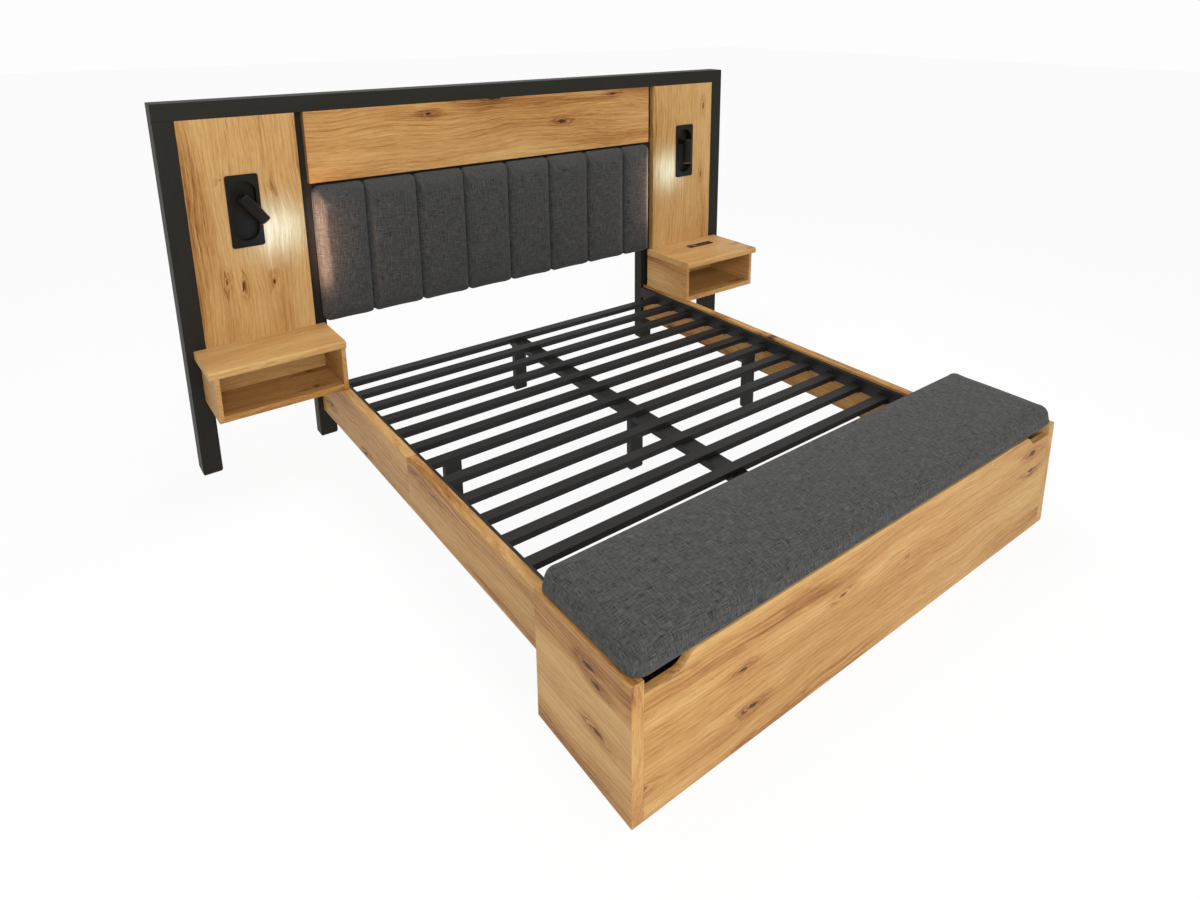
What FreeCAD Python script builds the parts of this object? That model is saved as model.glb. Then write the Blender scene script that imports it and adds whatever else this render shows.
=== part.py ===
"""Storage bed: headboard with nightstands and reading lamps, slatted steel deck and a foot bench.

Frame: +X to the right seen from the foot, +Y towards the headboard, +Z up, with the origin on the
floor in the middle of the bed's footprint. Millimetres throughout.
"""
import FreeCAD, Part
import math
import os
import re
import Sketcher

doc = FreeCAD.newDocument("storage_bed")

# Driving dimensions
SIZES = {
    # mattress bay
    "mattress_width": 1930,
    "mattress_length": 2032,
    "mattress_side_gap": 5,
    "mattress_end_gap": 10,
    "deck_top": 314,
    # oak side rails, each in two lengths
    "rail_thickness": 40,
    "rail_height": 219,
    "rail_floor_gap": 142,
    "rail_plate_thickness": 3,
    "rail_plate_margin": 5,
    # black headboard frame
    "headboard_height": 1684,
    "frame_depth": 102,
    "post_width": 81,
    "post_inset": 17,
    "wing_bay": 457,
    "top_rail_height": 74,
    "cross_rail_height": 80,
    "lower_rail_rise": 20,
    "glide_height": 6,
    "glide_margin": 4,
    # oak headboard panels
    "panel_thickness": 36,
    "wing_lap": 18,
    "centre_lap": 25,
    "centre_panel_height": 329,
    # channelled pad
    "pad_gap": 14,
    "pad_rise": 612,
    "pad_lap": 22,
    "pad_board_thickness": 18,
    "pad_board_margin": 28,
    "pad_depth": 63,
    "pad_crown": 9,
    "pad_edge_radius": 28,
    "pad_corner_radius": 26,
    "channel_count": 8,
    "first_channel": 240,
    "last_channel": 207,
    "channel_seam": 3,
    # nightstands
    "stand_gap": 2,
    "stand_offset": 22,
    "stand_width": 547,
    "stand_height": 240,
    "left_stand_depth": 278,
    "right_stand_depth": 372,
    "stand_overhang": 20,
    "stand_nose": 15,
    "stand_nose_radius": 12,
    "stand_top_thickness": 36,
    "stand_side_thickness": 20,
    "stand_floor_thickness": 28,
    "stand_back_thickness": 18,
    # charging strip in the right nightstand's top
    "strip_length": 190,
    "strip_width": 46,
    "strip_lip": 4,
    "strip_rise": 3,
    "strip_body_height": 50,
    "strip_setback": 122,
    "strip_shift": 57,
    "outlet_length": 34,
    "outlet_width": 30,
    "port_length": 7,
    "port_width": 15,
    "port_spacing": 24,
    "outlet_offset": 44,
    "port_offset": 18,
    "socket_recess": 2,
    "socket_plate": 1,
    # reading lamps
    "lamp_reach": 226,
    "lamp_drop": 413,
    "lamp_plate_width": 136,
    "lamp_plate_height": 326,
    "lamp_plate_thickness": 6,
    "lamp_plate_corner": 12,
    "dish_width": 105,
    "dish_height": 269,
    "dish_depth": 28,
    "dish_wall": 3,
    "dish_clearance": 0.5,
    "pivot_rise": 53,
    "lamp_standoff": 30,
    "lamp_head_radius": 25,
    "lamp_head_above": 25,
    "lamp_head_below": 125,
    "lamp_head_wall": 3,
    "lamp_head_round": 8,
    "lens_recess": 6,
    "lens_thickness": 4,
    "tang_thickness": 14,
    "tang_height": 20,
    "tang_clearance": 0.5,
    "swivel_radius": 18,
    "swivel_thickness": 8,
    "spigot_radius": 5,
    "spigot_tail": 2,
    "lamp_pin_radius": 3,
    "lamp_pin_margin": 3,
    "running_clearance": 0.05,
    "lamp_swing": 35,
    # steel deck
    "deck_rail_width": 20,
    "deck_rail_height": 64,
    "deck_rail_drop": 12,
    "deck_rail_end_gap": 2,
    "tube_wall": 2,
    "slat_count": 13,
    "slat_pitch": 153.2,
    "slat_width": 50,
    "slat_height": 25,
    "slat_start": 113,
    "bracket_reach": 22,
    "bracket_back": 2,
    "bracket_cheek": 4,
    "bracket_floor": 3,
    "beam_width": 80,
    "beam_height": 30,
    "beam_end_gap": 20,
    "leg_width": 70,
    "leg_depth": 30,
    "side_leg_inset": 118,
    "middle_leg_shift": 123,
    # foot bench
    "bench_depth": 460,
    "bench_height": 450,
    "bench_overhang": 53,
    "end_panel_thickness": 40,
    "front_panel_thickness": 25,
    "back_panel_thickness": 20,
    "floor_panel_thickness": 12,
    "floor_panel_rise": 40,
    "cleat_size": 22,
    "notch_depth": 42,
    "notch_flat": 106,
    "notch_ease": 80,
    # bench lid
    "lid_gap": 1,
    "lid_ledge": 16,
    "lid_board_thickness": 15,
    "lid_board_margin": 14,
    "cushion_edge_height": 63,
    "cushion_crown": 13,
    "cushion_round": 30,
    "cushion_corner": 36,
    "cushion_draw_in": 5,
    "cushion_front_gap": 2,
    "cushion_back_gap": 0.4,
    # lid hinges
    "hinge_width": 70,
    "hinge_leaf_height": 34,
    "hinge_leaf_thickness": 2,
    "hinge_barrel_radius": 4,
    "hinge_pin_radius": 2.5,
    "hinge_play": 0.3,
    "hinge_reach": 760,
}

sheet = doc.addObject("Spreadsheet::Sheet", "Sizes")
for row, (name, number) in enumerate(SIZES.items(), start=1):
    sheet.set(f"A{row}", name)
    sheet.set(f"B{row}", str(number))
    sheet.setAlias(f"B{row}", name)
doc.recompute()

# Places that several pieces share, as formulas of the driving dimensions
DECK_INNER = "(mattress_width/2 + mattress_side_gap)"
HALF_BAY = f"({DECK_INNER} + deck_rail_width)"
RAIL_OUTER = f"({HALF_BAY} + rail_thickness)"
RAIL_TOP = "(rail_floor_gap + rail_height)"
BENCH_HALF = f"({RAIL_OUTER} + bench_overhang)"
BENCH_INNER = f"({BENCH_HALF} - end_panel_thickness)"
LENGTH = "(bench_depth + mattress_length + 2*mattress_end_gap + frame_depth)"
FOOT = f"(-{LENGTH}/2)"
BENCH_BACK = f"({FOOT} + bench_depth)"
WALL = f"({LENGTH}/2)"
HEAD = f"({WALL} - frame_depth)"
RECESS = f"({HEAD} + panel_thickness)"
INNER_POST = f"({HALF_BAY} - post_inset)"
INNER_POST_OUT = f"({INNER_POST} + post_width)"
OUTER_POST = f"({INNER_POST_OUT} + wing_bay)"
HEAD_HALF = f"({OUTER_POST} + post_width)"
PANEL_TOP = "(headboard_height - top_rail_height)"
CENTRE_LOW = f"({PANEL_TOP} - centre_panel_height)"
PAD_TOP = f"({CENTRE_LOW} - pad_gap)"
PAD_LOW = "pad_rise"
PAD_HEIGHT = f"({PAD_TOP} - {PAD_LOW})"
PAD_HALF = f"({INNER_POST} + pad_lap)"
PAD_BACK = f"({RECESS} - pad_board_thickness)"
STAND_LOW = f"({RAIL_TOP} + stand_gap)"
STAND_TOP = f"({STAND_LOW} + stand_height)"
STAND_UNDER = f"({STAND_TOP} - stand_top_thickness)"
STAND_INNER = f"({INNER_POST} + stand_offset)"
LAMP_X = f"({OUTER_POST} - lamp_reach)"
LAMP_Z = f"({PANEL_TOP} - lamp_drop)"
PIVOT_Z = f"({LAMP_Z} + pivot_rise)"
PIVOT_Y = f"({HEAD} - lamp_plate_thickness - lamp_standoff)"
SLAT_LOW = "(deck_top - slat_height)"
SLAT_HALF = f"({DECK_INNER} - bracket_back)"
BEAM_LOW = f"({SLAT_LOW} - beam_height)"
HINGE_Y = f"({BENCH_BACK} + hinge_barrel_radius + hinge_play)"
HINGE_Z = "(bench_height + lid_gap/2)"
LID_LOW = "(bench_height + lid_gap)"
CUSHION_HALF = f"({BENCH_HALF} - lid_ledge)"
SIDES = ("left", "right")
nodes = []


def size(name):
    """A driving dimension as a number."""
    return float(sheet.get(name))


def formula(text):
    """Turn plain size names into references to the sheet's cells."""
    return re.sub(r"[a-z][a-z_]*", lambda word: "Sizes." + word.group(), str(text))


def bind(piece, **properties):
    for name, text in properties.items():
        piece.setExpression(name, formula(text))
    return piece


def place(piece, x, y, z):
    for axis, text in zip("xyz", (x, y, z)):
        piece.setExpression("Placement.Base." + axis, formula(text))
    return piece


def keep(piece, label):
    """Mark a finished sub-part as a node, and let its label name its file."""
    piece.Label = label
    nodes.append(piece)
    return piece


def sided(side, inner, width):
    """Low X of a piece whose inner face stands at inner from the bed's middle plane."""
    return inner if side == "right" else f"-({inner}) - ({width})"


def mirror_sign(side):
    return "1" if side == "right" else "-1"


def box(name, length, width, height, x, y, z):
    piece = doc.addObject("Part::Box", name)
    bind(piece, Length=length, Width=width, Height=height)
    return place(piece, x, y, z)


TURNS = {
    "X": FreeCAD.Rotation(FreeCAD.Vector(0, 1, 0), 90),
    "Y": FreeCAD.Rotation(FreeCAD.Vector(1, 0, 0), -90),
    "Z": FreeCAD.Rotation(),
}


def cylinder(name, radius, length, axis, x, y, z):
    """A round bar that starts at x, y, z and runs along the named axis."""
    piece = doc.addObject("Part::Cylinder", name)
    piece.Placement = FreeCAD.Placement(FreeCAD.Vector(), TURNS[axis])
    bind(piece, Radius=radius, Height=length)
    return place(piece, x, y, z)


def cut(name, base, tool):
    piece = doc.addObject("Part::Cut", name)
    piece.Base = base
    piece.Tool = tool
    return piece


def common(name, first, second):
    piece = doc.addObject("Part::Common", name)
    piece.Base = first
    piece.Tool = second
    return piece


def fuse(name, pieces):
    piece = doc.addObject("Part::MultiFuse", name)
    piece.Shapes = pieces
    return piece


def group(name, pieces):
    """Identical pieces kept as separate solids in one node."""
    bundle = doc.addObject("Part::Compound", name)
    bundle.Links = pieces
    return bundle


def tube(name, length, width, height, axis, x, y, z):
    """Rectangular steel tube, open at both ends along the named axis."""
    lengths = {"X": length, "Y": width, "Z": height}
    lows = {"X": x, "Y": y, "Z": z}
    bore_lengths = {}
    bore_lows = {}
    for way in "XYZ":
        inset = "-tube_wall" if way == axis else "tube_wall"
        bore_lengths[way] = f"{lengths[way]} - 2*({inset})"
        bore_lows[way] = f"{lows[way]} + ({inset})"
    outer = box(name + "_outer", length, width, height, x, y, z)
    bore = box(name + "_bore", *bore_lengths.values(), *bore_lows.values())
    return cut(name, outer, bore)


def stadium(name, width, height, depth, x, y, z):
    """Upright slot-shaped prism about x and z, running from y along +Y."""
    radius = f"({width})/2"
    reach = f"(({height}) - ({width}))/2"
    middle = box(name + "_middle", width, depth, f"2*({reach})", f"{x} - {radius}", y, f"{z} - ({reach})")
    upper = cylinder(name + "_upper", radius, depth, "Y", x, y, f"{z} + ({reach})")
    lower = cylinder(name + "_lower", radius, depth, "Y", x, y, f"{z} - ({reach})")
    return fuse(name, [middle, upper, lower])


def round_edges(name, base, radius, chosen):
    """Fillet the edges of base that chosen picks, all to one radius."""
    doc.recompute()
    piece = doc.addObject("Part::Fillet", name)
    piece.Base = base
    edges = enumerate(base.Shape.Edges, start=1)
    piece.Edges = [(number, radius, radius) for number, edge in edges if chosen(edge)]
    return piece


def along(edge, axis):
    direction = edge.tangentAt(edge.FirstParameter)
    return abs(abs(direction.dot(axis)) - 1) < 1e-6


AXIS_X = FreeCAD.Vector(1, 0, 0)
AXIS_Y = FreeCAD.Vector(0, 1, 0)


# Headboard frame: four posts on glides, a top rail over them and two cross rails between them
def headboard_frame():
    glides = []
    for side in SIDES:
        posts = {
            "outer": (OUTER_POST, HEAD, "frame_depth"),
            "inner": (INNER_POST, RECESS, "frame_depth - panel_thickness"),
        }
        for kind, (inner, front, depth) in posts.items():
            post = box(f"{side}_{kind}_post", "post_width", depth, f"{PANEL_TOP} - glide_height",
                       sided(side, inner, "post_width"), front, "glide_height")
            keep(post, f"{side}_{kind}_post")
            foot_width = "post_width - 2*glide_margin"
            glides.append(box(f"{side}_{kind}_glide", foot_width, f"{depth} - 2*glide_margin", "glide_height",
                              sided(side, f"{inner} + glide_margin", foot_width), f"{front} + glide_margin", "0"))
    keep(group("post_glide_set", glides), "post_glides")
    keep(box("head_rail", f"2*{HEAD_HALF}", "frame_depth", "top_rail_height", f"-{HEAD_HALF}", HEAD, PANEL_TOP),
         "top_rail")
    lows = {
        "upper_cross_rail": f"{CENTRE_LOW} - pad_gap/2 - cross_rail_height/2",
        "lower_cross_rail": f"{PAD_LOW} + lower_rail_rise",
    }
    for label, low in lows.items():
        keep(box(label + "_bar", f"2*{INNER_POST}", "frame_depth - panel_thickness", "cross_rail_height",
                 f"-{INNER_POST}", RECESS, low), label)


# Oak panels: two wings, each cut out for its lamp, and one across the middle
def headboard_panels():
    wing_inner = f"({INNER_POST_OUT} - wing_lap)"
    wing_width = f"({OUTER_POST} - {wing_inner})"
    hole_width = "(dish_width + 2*dish_wall + 2*dish_clearance)"
    hole_height = "(dish_height + 2*dish_wall + 2*dish_clearance)"
    for side in SIDES:
        board = box(f"{side}_wing_board", wing_width, "panel_thickness", f"{PANEL_TOP} - {STAND_LOW}",
                    sided(side, wing_inner, wing_width), HEAD, STAND_LOW)
        hole = stadium(f"{side}_lamp_hole", hole_width, hole_height, "panel_thickness + 2*dish_wall",
                       f"{mirror_sign(side)}*{LAMP_X}", f"{HEAD} - dish_wall", LAMP_Z)
        keep(cut(f"{side}_wing", board, hole), f"{side}_wing_panel")
    half = f"({INNER_POST} + centre_lap)"
    keep(box("centre_board", f"2*{half}", "panel_thickness", "centre_panel_height", f"-{half}", HEAD, CENTRE_LOW),
         "centre_panel")


def pad_section(depth, inset, height):
    """Level outline of the channelled pad: each channel has two round shoulders and a low crown."""
    bay = size("mattress_width")/2 + size("mattress_side_gap") + size("deck_rail_width")
    half = bay - size("post_inset") + size("pad_lap")
    count = int(size("channel_count"))
    pitch = (2*half - size("first_channel") - size("last_channel"))/(count - 2)
    seams = [-half] + [size("first_channel") - half + number*pitch for number in range(count - 1)] + [half]
    crown = size("pad_crown")
    shoulder = 0.5*(depth - crown)
    groove = depth - crown - shoulder
    lift = shoulder*math.sin(math.pi/4)
    slip = shoulder - lift

    def at(x, y):
        return FreeCAD.Vector(x, -y, height)

    edges = []
    last = at(-half, 0)
    for start, end in zip(seams, seams[1:]):
        low = start + inset
        high = end - inset
        edges.append(Part.LineSegment(last, at(low, groove)).toShape())
        shoulders = (
            (at(low, groove), at(low + slip, groove + lift), at(low + shoulder, groove + shoulder)),
            (at(low + shoulder, groove + shoulder), at((low + high)/2, depth), at(high - shoulder, groove + shoulder)),
            (at(high - shoulder, groove + shoulder), at(high - slip, groove + lift), at(high, groove)),
        )
        edges.extend(Part.Arc(*points).toShape() for points in shoulders)
        last = at(high, groove)
    edges.append(Part.LineSegment(last, at(half, 0)).toShape())
    edges.append(Part.LineSegment(at(half, 0), at(-half, 0)).toShape())
    return Part.Wire(edges)


# Upholstered pad: upright sewn channels that round over at the top and bottom, on a plywood board
def headboard_pad():
    board_half = f"({PAD_HALF} - pad_board_margin)"
    keep(box("pad_backing", f"2*{board_half}", "pad_board_thickness", f"{PAD_HEIGHT} - 2*pad_board_margin",
             f"-{board_half}", PAD_BACK, f"{PAD_LOW} + pad_board_margin"), "pad_board")
    edge = size("pad_edge_radius")
    corner = size("pad_corner_radius")
    seam = size("channel_seam")
    top = size("headboard_height") - size("top_rail_height") - size("centre_panel_height") - size("pad_gap")
    tall = top - size("pad_rise")

    def section(height, at_end):
        depth = size("pad_depth") - (0.7*edge if at_end else 0)
        inset = seam/2 + (0.6*corner if at_end else 0)
        return pad_section(depth, inset, height)

    wires = [section(0, True), section(edge, False), section(tall - edge, False), section(tall, True)]
    pad = doc.addObject("Part::Feature", "channelled_pad")
    pad.Shape = Part.makeLoft(wires, True, True)
    keep(place(pad, "0", PAD_BACK, PAD_LOW), "headboard_pad")


# Nightstands: open boxes of five boards, hung on the headboard above the side rails
def nightstands():
    for side in SIDES:
        depth = f"{side}_stand_depth"
        front = f"({HEAD} - {depth})"
        name = f"{side}_nightstand"
        side_height = f"{STAND_UNDER} - {STAND_LOW}"
        sides = {"inner_side": STAND_INNER, "outer_side": f"({STAND_INNER} + stand_width - stand_side_thickness)"}
        for kind, inner in sides.items():
            keep(box(f"{name}_{kind}_board", "stand_side_thickness", depth, side_height,
                     sided(side, inner, "stand_side_thickness"), front, STAND_LOW), f"{name}_{kind}")
        bay = "(stand_width - 2*stand_side_thickness)"
        bay_low = sided(side, f"({STAND_INNER} + stand_side_thickness)", bay)
        keep(box(f"{name}_floor_board", bay, depth, "stand_floor_thickness", bay_low, front, STAND_LOW),
             f"{name}_floor")
        keep(box(f"{name}_back_board", bay, "stand_back_thickness", f"{side_height} - stand_floor_thickness",
                 bay_low, f"{HEAD} - stand_back_thickness", f"{STAND_LOW} + stand_floor_thickness"), f"{name}_back")
        top_width = "(stand_width + stand_overhang)"
        board = box(f"{name}_top_board", top_width, f"{depth} + stand_nose", "stand_top_thickness",
                    sided(side, STAND_INNER, top_width), f"{front} - stand_nose", STAND_UNDER)
        doc.recompute()
        nose = board.Shape.BoundBox.YMin
        radius = min(size("stand_nose_radius"), 0.45*size("stand_top_thickness"))
        top = round_edges(f"{name}_nosed_top", board, radius,
                          lambda edge: along(edge, AXIS_X) and abs(edge.CenterOfMass.y - nose) < 1e-6)
        if side == "right":
            top = cut(f"{name}_slotted_top", top, strip_body("strip_slot"))
        keep(top, f"{name}_top")


STRIP_X = f"({STAND_INNER} + stand_width/2 + strip_shift)"
STRIP_Y = f"({HEAD} - strip_setback)"


def strip_body(name):
    """The part of the charging strip that drops through the nightstand's top."""
    length = "(strip_length - 2*strip_lip)"
    width = "(strip_width - 2*strip_lip)"
    return box(name, length, width, "strip_body_height", f"{STRIP_X} - {length}/2", f"{STRIP_Y} - {width}/2",
               f"{STAND_TOP} - strip_body_height")


# Charging strip: a lipped bar let into the right nightstand, with an outlet plate and three port plates
def charging_strip():
    bezel = box("strip_bezel", "strip_length", "strip_width", "strip_rise",
                f"{STRIP_X} - strip_length/2", f"{STRIP_Y} - strip_width/2", STAND_TOP)
    bar = fuse("strip_bar", [bezel, strip_body("strip_box")])
    seat = f"({STAND_TOP} + strip_rise - socket_recess)"
    outlet_x = f"({STRIP_X} - outlet_offset)"
    sockets = [("outlet", outlet_x, "outlet_length", "outlet_width")]
    for number in range(3):
        port_x = f"({STRIP_X} + port_offset + {number - 1}*port_spacing)"
        sockets.append((f"port_{number}", port_x, "port_length", "port_width"))
    plates = []
    for name, x, length, width in sockets:
        well = box(f"{name}_well", length, width, "2*socket_recess",
                   f"{x} - {length}/2", f"{STRIP_Y} - {width}/2", seat)
        bar = cut(f"strip_with_{name}", bar, well)
        plate_length = f"({length} - 2*running_clearance)"
        plate_width = f"({width} - 2*running_clearance)"
        plates.append(box(f"{name}_plate", plate_length, plate_width, "socket_plate",
                          f"{x} - {plate_length}/2", f"{STRIP_Y} - {plate_width}/2", seat))
    keep(bar, "charging_strip")
    keep(group("socket_plates", plates), "charging_sockets")


def origin_plane(body, role):
    return next(feature for feature in body.Origin.OriginFeatures if feature.Role == role)


def lamp_body(name, side):
    """A body whose own origin is the lamp's pivot, turned with the lamp's swing."""
    body = doc.addObject("PartDesign::Body", name)
    swing = size("lamp_swing") if side == "left" else 0
    body.Placement = FreeCAD.Placement(FreeCAD.Vector(), FreeCAD.Rotation(FreeCAD.Vector(0, -1, 0), swing))
    return place(body, f"{mirror_sign(side)}*{LAMP_X}", PIVOT_Y, PIVOT_Z)


def new_sketch(body, role, offset="0"):
    drawing = body.newObject("Sketcher::SketchObject", body.Name + "_sketch")
    drawing.AttachmentSupport = (origin_plane(body, role), "")
    drawing.MapMode = "FlatFace"
    drawing.setExpression("AttachmentOffset.Base.z", formula(offset))
    return drawing


def draw_polygon(drawing, corners):
    """Closed outline of straight lines, every corner held at its own two formulas."""
    spread = 10
    count = len(corners)
    guesses = []
    for number in range(count):
        angle = 2*math.pi*number/count
        guesses.append(FreeCAD.Vector(spread*math.cos(angle), spread*math.sin(angle), 0))
    for number in range(count):
        drawing.addGeometry(Part.LineSegment(guesses[number], guesses[(number + 1) % count]))
    for number in range(count):
        drawing.addConstraint(Sketcher.Constraint("Coincident", number, 2, (number + 1) % count, 1))
    for number, corner in enumerate(corners):
        for kind, text in zip(("DistanceX", "DistanceY"), corner):
            index = drawing.addConstraint(Sketcher.Constraint(kind, -1, 1, number, 1, spread))
            drawing.setExpression(f"Constraints[{index}]", formula(text))


def draw_circle(drawing, radius):
    drawing.addGeometry(Part.Circle(FreeCAD.Vector(), FreeCAD.Vector(0, 0, 1), 1))
    drawing.addConstraint(Sketcher.Constraint("Coincident", 0, 3, -1, 1))
    index = drawing.addConstraint(Sketcher.Constraint("Radius", 0, 1))
    drawing.setExpression(f"Constraints[{index}]", formula(radius))


def extrude(body, kind, drawing, length, symmetric=False, backwards=False):
    feature = body.newObject("PartDesign::" + kind, body.Name + "_" + kind.lower())
    feature.Profile = drawing
    feature.SideType = "Symmetric" if symmetric else "One side"
    feature.Reversed = backwards
    bind(feature, Length=length)
    return feature


# Lamp plate: a rounded plate with a slot-shaped dish behind it, bored for the swivel
def lamp_plate(side):
    x = f"{mirror_sign(side)}*{LAMP_X}"
    face = f"({HEAD} - lamp_plate_thickness)"
    name = f"{side}_lamp"
    board = box(f"{name}_board", "lamp_plate_width", "lamp_plate_thickness", "lamp_plate_height",
                f"{x} - lamp_plate_width/2", face, f"{LAMP_Z} - lamp_plate_height/2")
    rounded = round_edges(f"{name}_rounded", board, size("lamp_plate_corner"), lambda edge: along(edge, AXIS_Y))
    cup = stadium(f"{name}_cup", "(dish_width + 2*dish_wall)", "(dish_height + 2*dish_wall)",
                  "lamp_plate_thickness + dish_depth + dish_wall", x, face, LAMP_Z)
    dish = stadium(f"{name}_dish", "dish_width", "dish_height", "lamp_plate_thickness + dish_depth",
                   x, face, LAMP_Z)
    bore = cylinder(f"{name}_bore", "spigot_radius + running_clearance", "3*dish_wall", "Y",
                    x, f"{HEAD} + dish_depth - dish_wall", PIVOT_Z)
    solid = fuse(f"{name}_solid", [rounded, cup])
    keep(cut(f"{name}_bored", cut(f"{name}_dished", solid, dish), bore), f"{side}_lamp_plate")


# Lamp swivel: a disc and spigot that turn in the dish, with a tang that carries the head's pin
def lamp_swivel(side):
    body = lamp_body(f"{side}_swivel", side)
    floor_depth = "(lamp_standoff + lamp_plate_thickness + dish_depth)"
    reach = "tang_height/2"
    tang = new_sketch(body, "YZ_Plane")
    back = floor_depth + " - swivel_thickness/2"
    draw_polygon(tang, [
        (f"-0.92*{reach}", f"-0.38*{reach}"),
        (f"-0.38*{reach}", f"-0.92*{reach}"),
        ("0", f"-{reach}"),
        (back, f"-{reach}"),
        (back, reach),
        ("0", reach),
        (f"-0.38*{reach}", f"0.92*{reach}"),
        (f"-0.92*{reach}", f"0.38*{reach}"),
    ])
    extrude(body, "Pad", tang, "tang_thickness", symmetric=True)
    disc = new_sketch(body, "XZ_Plane", f"-({floor_depth}) + running_clearance")
    draw_circle(disc, "swivel_radius")
    extrude(body, "Pad", disc, "swivel_thickness")
    spigot = new_sketch(body, "XZ_Plane", f"-({floor_depth}) - dish_wall - spigot_tail")
    draw_circle(spigot, "spigot_radius")
    extrude(body, "Pad", spigot, "dish_wall + spigot_tail + swivel_thickness/2")
    eye = new_sketch(body, "YZ_Plane")
    draw_circle(eye, "lamp_pin_radius + running_clearance")
    extrude(body, "Pocket", eye, "2*tang_thickness", symmetric=True)
    keep(body, f"{side}_lamp_swivel")


# Lamp head: a turned shell, open below for its lens and slotted behind for the tang
def lamp_head(side):
    body = lamp_body(f"{side}_head", side)
    bore = "(lamp_head_radius - lamp_head_wall)"
    seat = "(-lamp_head_below + lens_recess + lens_thickness)"
    profile = new_sketch(body, "XZ_Plane")
    draw_polygon(profile, [
        ("0", "lamp_head_above"),
        ("0", "-tang_height"),
        (bore, "-tang_height"),
        (bore, "-lamp_head_below"),
        ("lamp_head_radius", "-lamp_head_below"),
        ("lamp_head_radius", "lamp_head_above - lamp_head_round"),
        ("lamp_head_radius - 0.3*lamp_head_round", "lamp_head_above - 0.3*lamp_head_round"),
        ("lamp_head_radius - lamp_head_round", "lamp_head_above"),
    ])
    turned = body.newObject("PartDesign::Revolution", body.Name + "_turned")
    turned.Profile = profile
    turned.ReferenceAxis = (profile, ["V_Axis"])
    turned.Angle = 360
    clear = "(tang_height/2 + tang_clearance)"
    far = "(lamp_head_radius + lamp_head_above)"
    slot = new_sketch(body, "YZ_Plane")
    draw_polygon(slot, [(f"-{clear}", f"-{clear}"), (far, f"-{clear}"), (far, far), (f"-{clear}", far)])
    extrude(body, "Pocket", slot, "tang_thickness + 2*tang_clearance", symmetric=True)
    eye = new_sketch(body, "YZ_Plane")
    draw_circle(eye, "lamp_pin_radius + running_clearance")
    extrude(body, "Pocket", eye, "4*lamp_head_radius", symmetric=True)
    keep(body, f"{side}_lamp_head")

    lens = lamp_body(f"{side}_lens", side)
    disc = new_sketch(lens, "XY_Plane", seat)
    draw_circle(disc, bore)
    extrude(lens, "Pad", disc, "lens_thickness", backwards=True)
    keep(lens, f"{side}_lamp_lens")

    pin = lamp_body(f"{side}_pin", side)
    rod = new_sketch(pin, "YZ_Plane")
    draw_circle(rod, "lamp_pin_radius")
    extrude(pin, "Pad", rod, "2*(lamp_head_radius - lamp_pin_margin)", symmetric=True)
    keep(pin, f"{side}_lamp_pin")


# Side rails: two oak boards end to end on each side, with a steel plate at each outer end
def side_rails():
    plate = "rail_plate_thickness"
    start = f"({BENCH_BACK} + {plate})"
    length = f"(({RECESS} - {BENCH_BACK} - 2*{plate})/2)"
    plates = []
    for side in SIDES:
        x = sided(side, HALF_BAY, "rail_thickness")
        for number, half in enumerate(("foot", "head")):
            keep(box(f"{side}_{half}_rail_board", "rail_thickness", length, "rail_height",
                     x, f"{start} + {number}*{length}", "rail_floor_gap"), f"{side}_rail_{half}")
        width = "(rail_thickness - 2*rail_plate_margin)"
        plate_x = sided(side, f"({HALF_BAY} + rail_plate_margin)", width)
        for number, y in enumerate((BENCH_BACK, f"{RECESS} - {plate}")):
            plates.append(box(f"{side}_rail_plate_{number}", width, plate, "rail_height - 2*rail_plate_margin",
                              plate_x, y, "rail_floor_gap + rail_plate_margin"))
    keep(group("rail_plate_set", plates), "rail_end_plates")


def slat_y(number):
    """Middle of a slat, counted from the bench."""
    return f"({BENCH_BACK} + slat_start + {number}*slat_pitch)"


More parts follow.
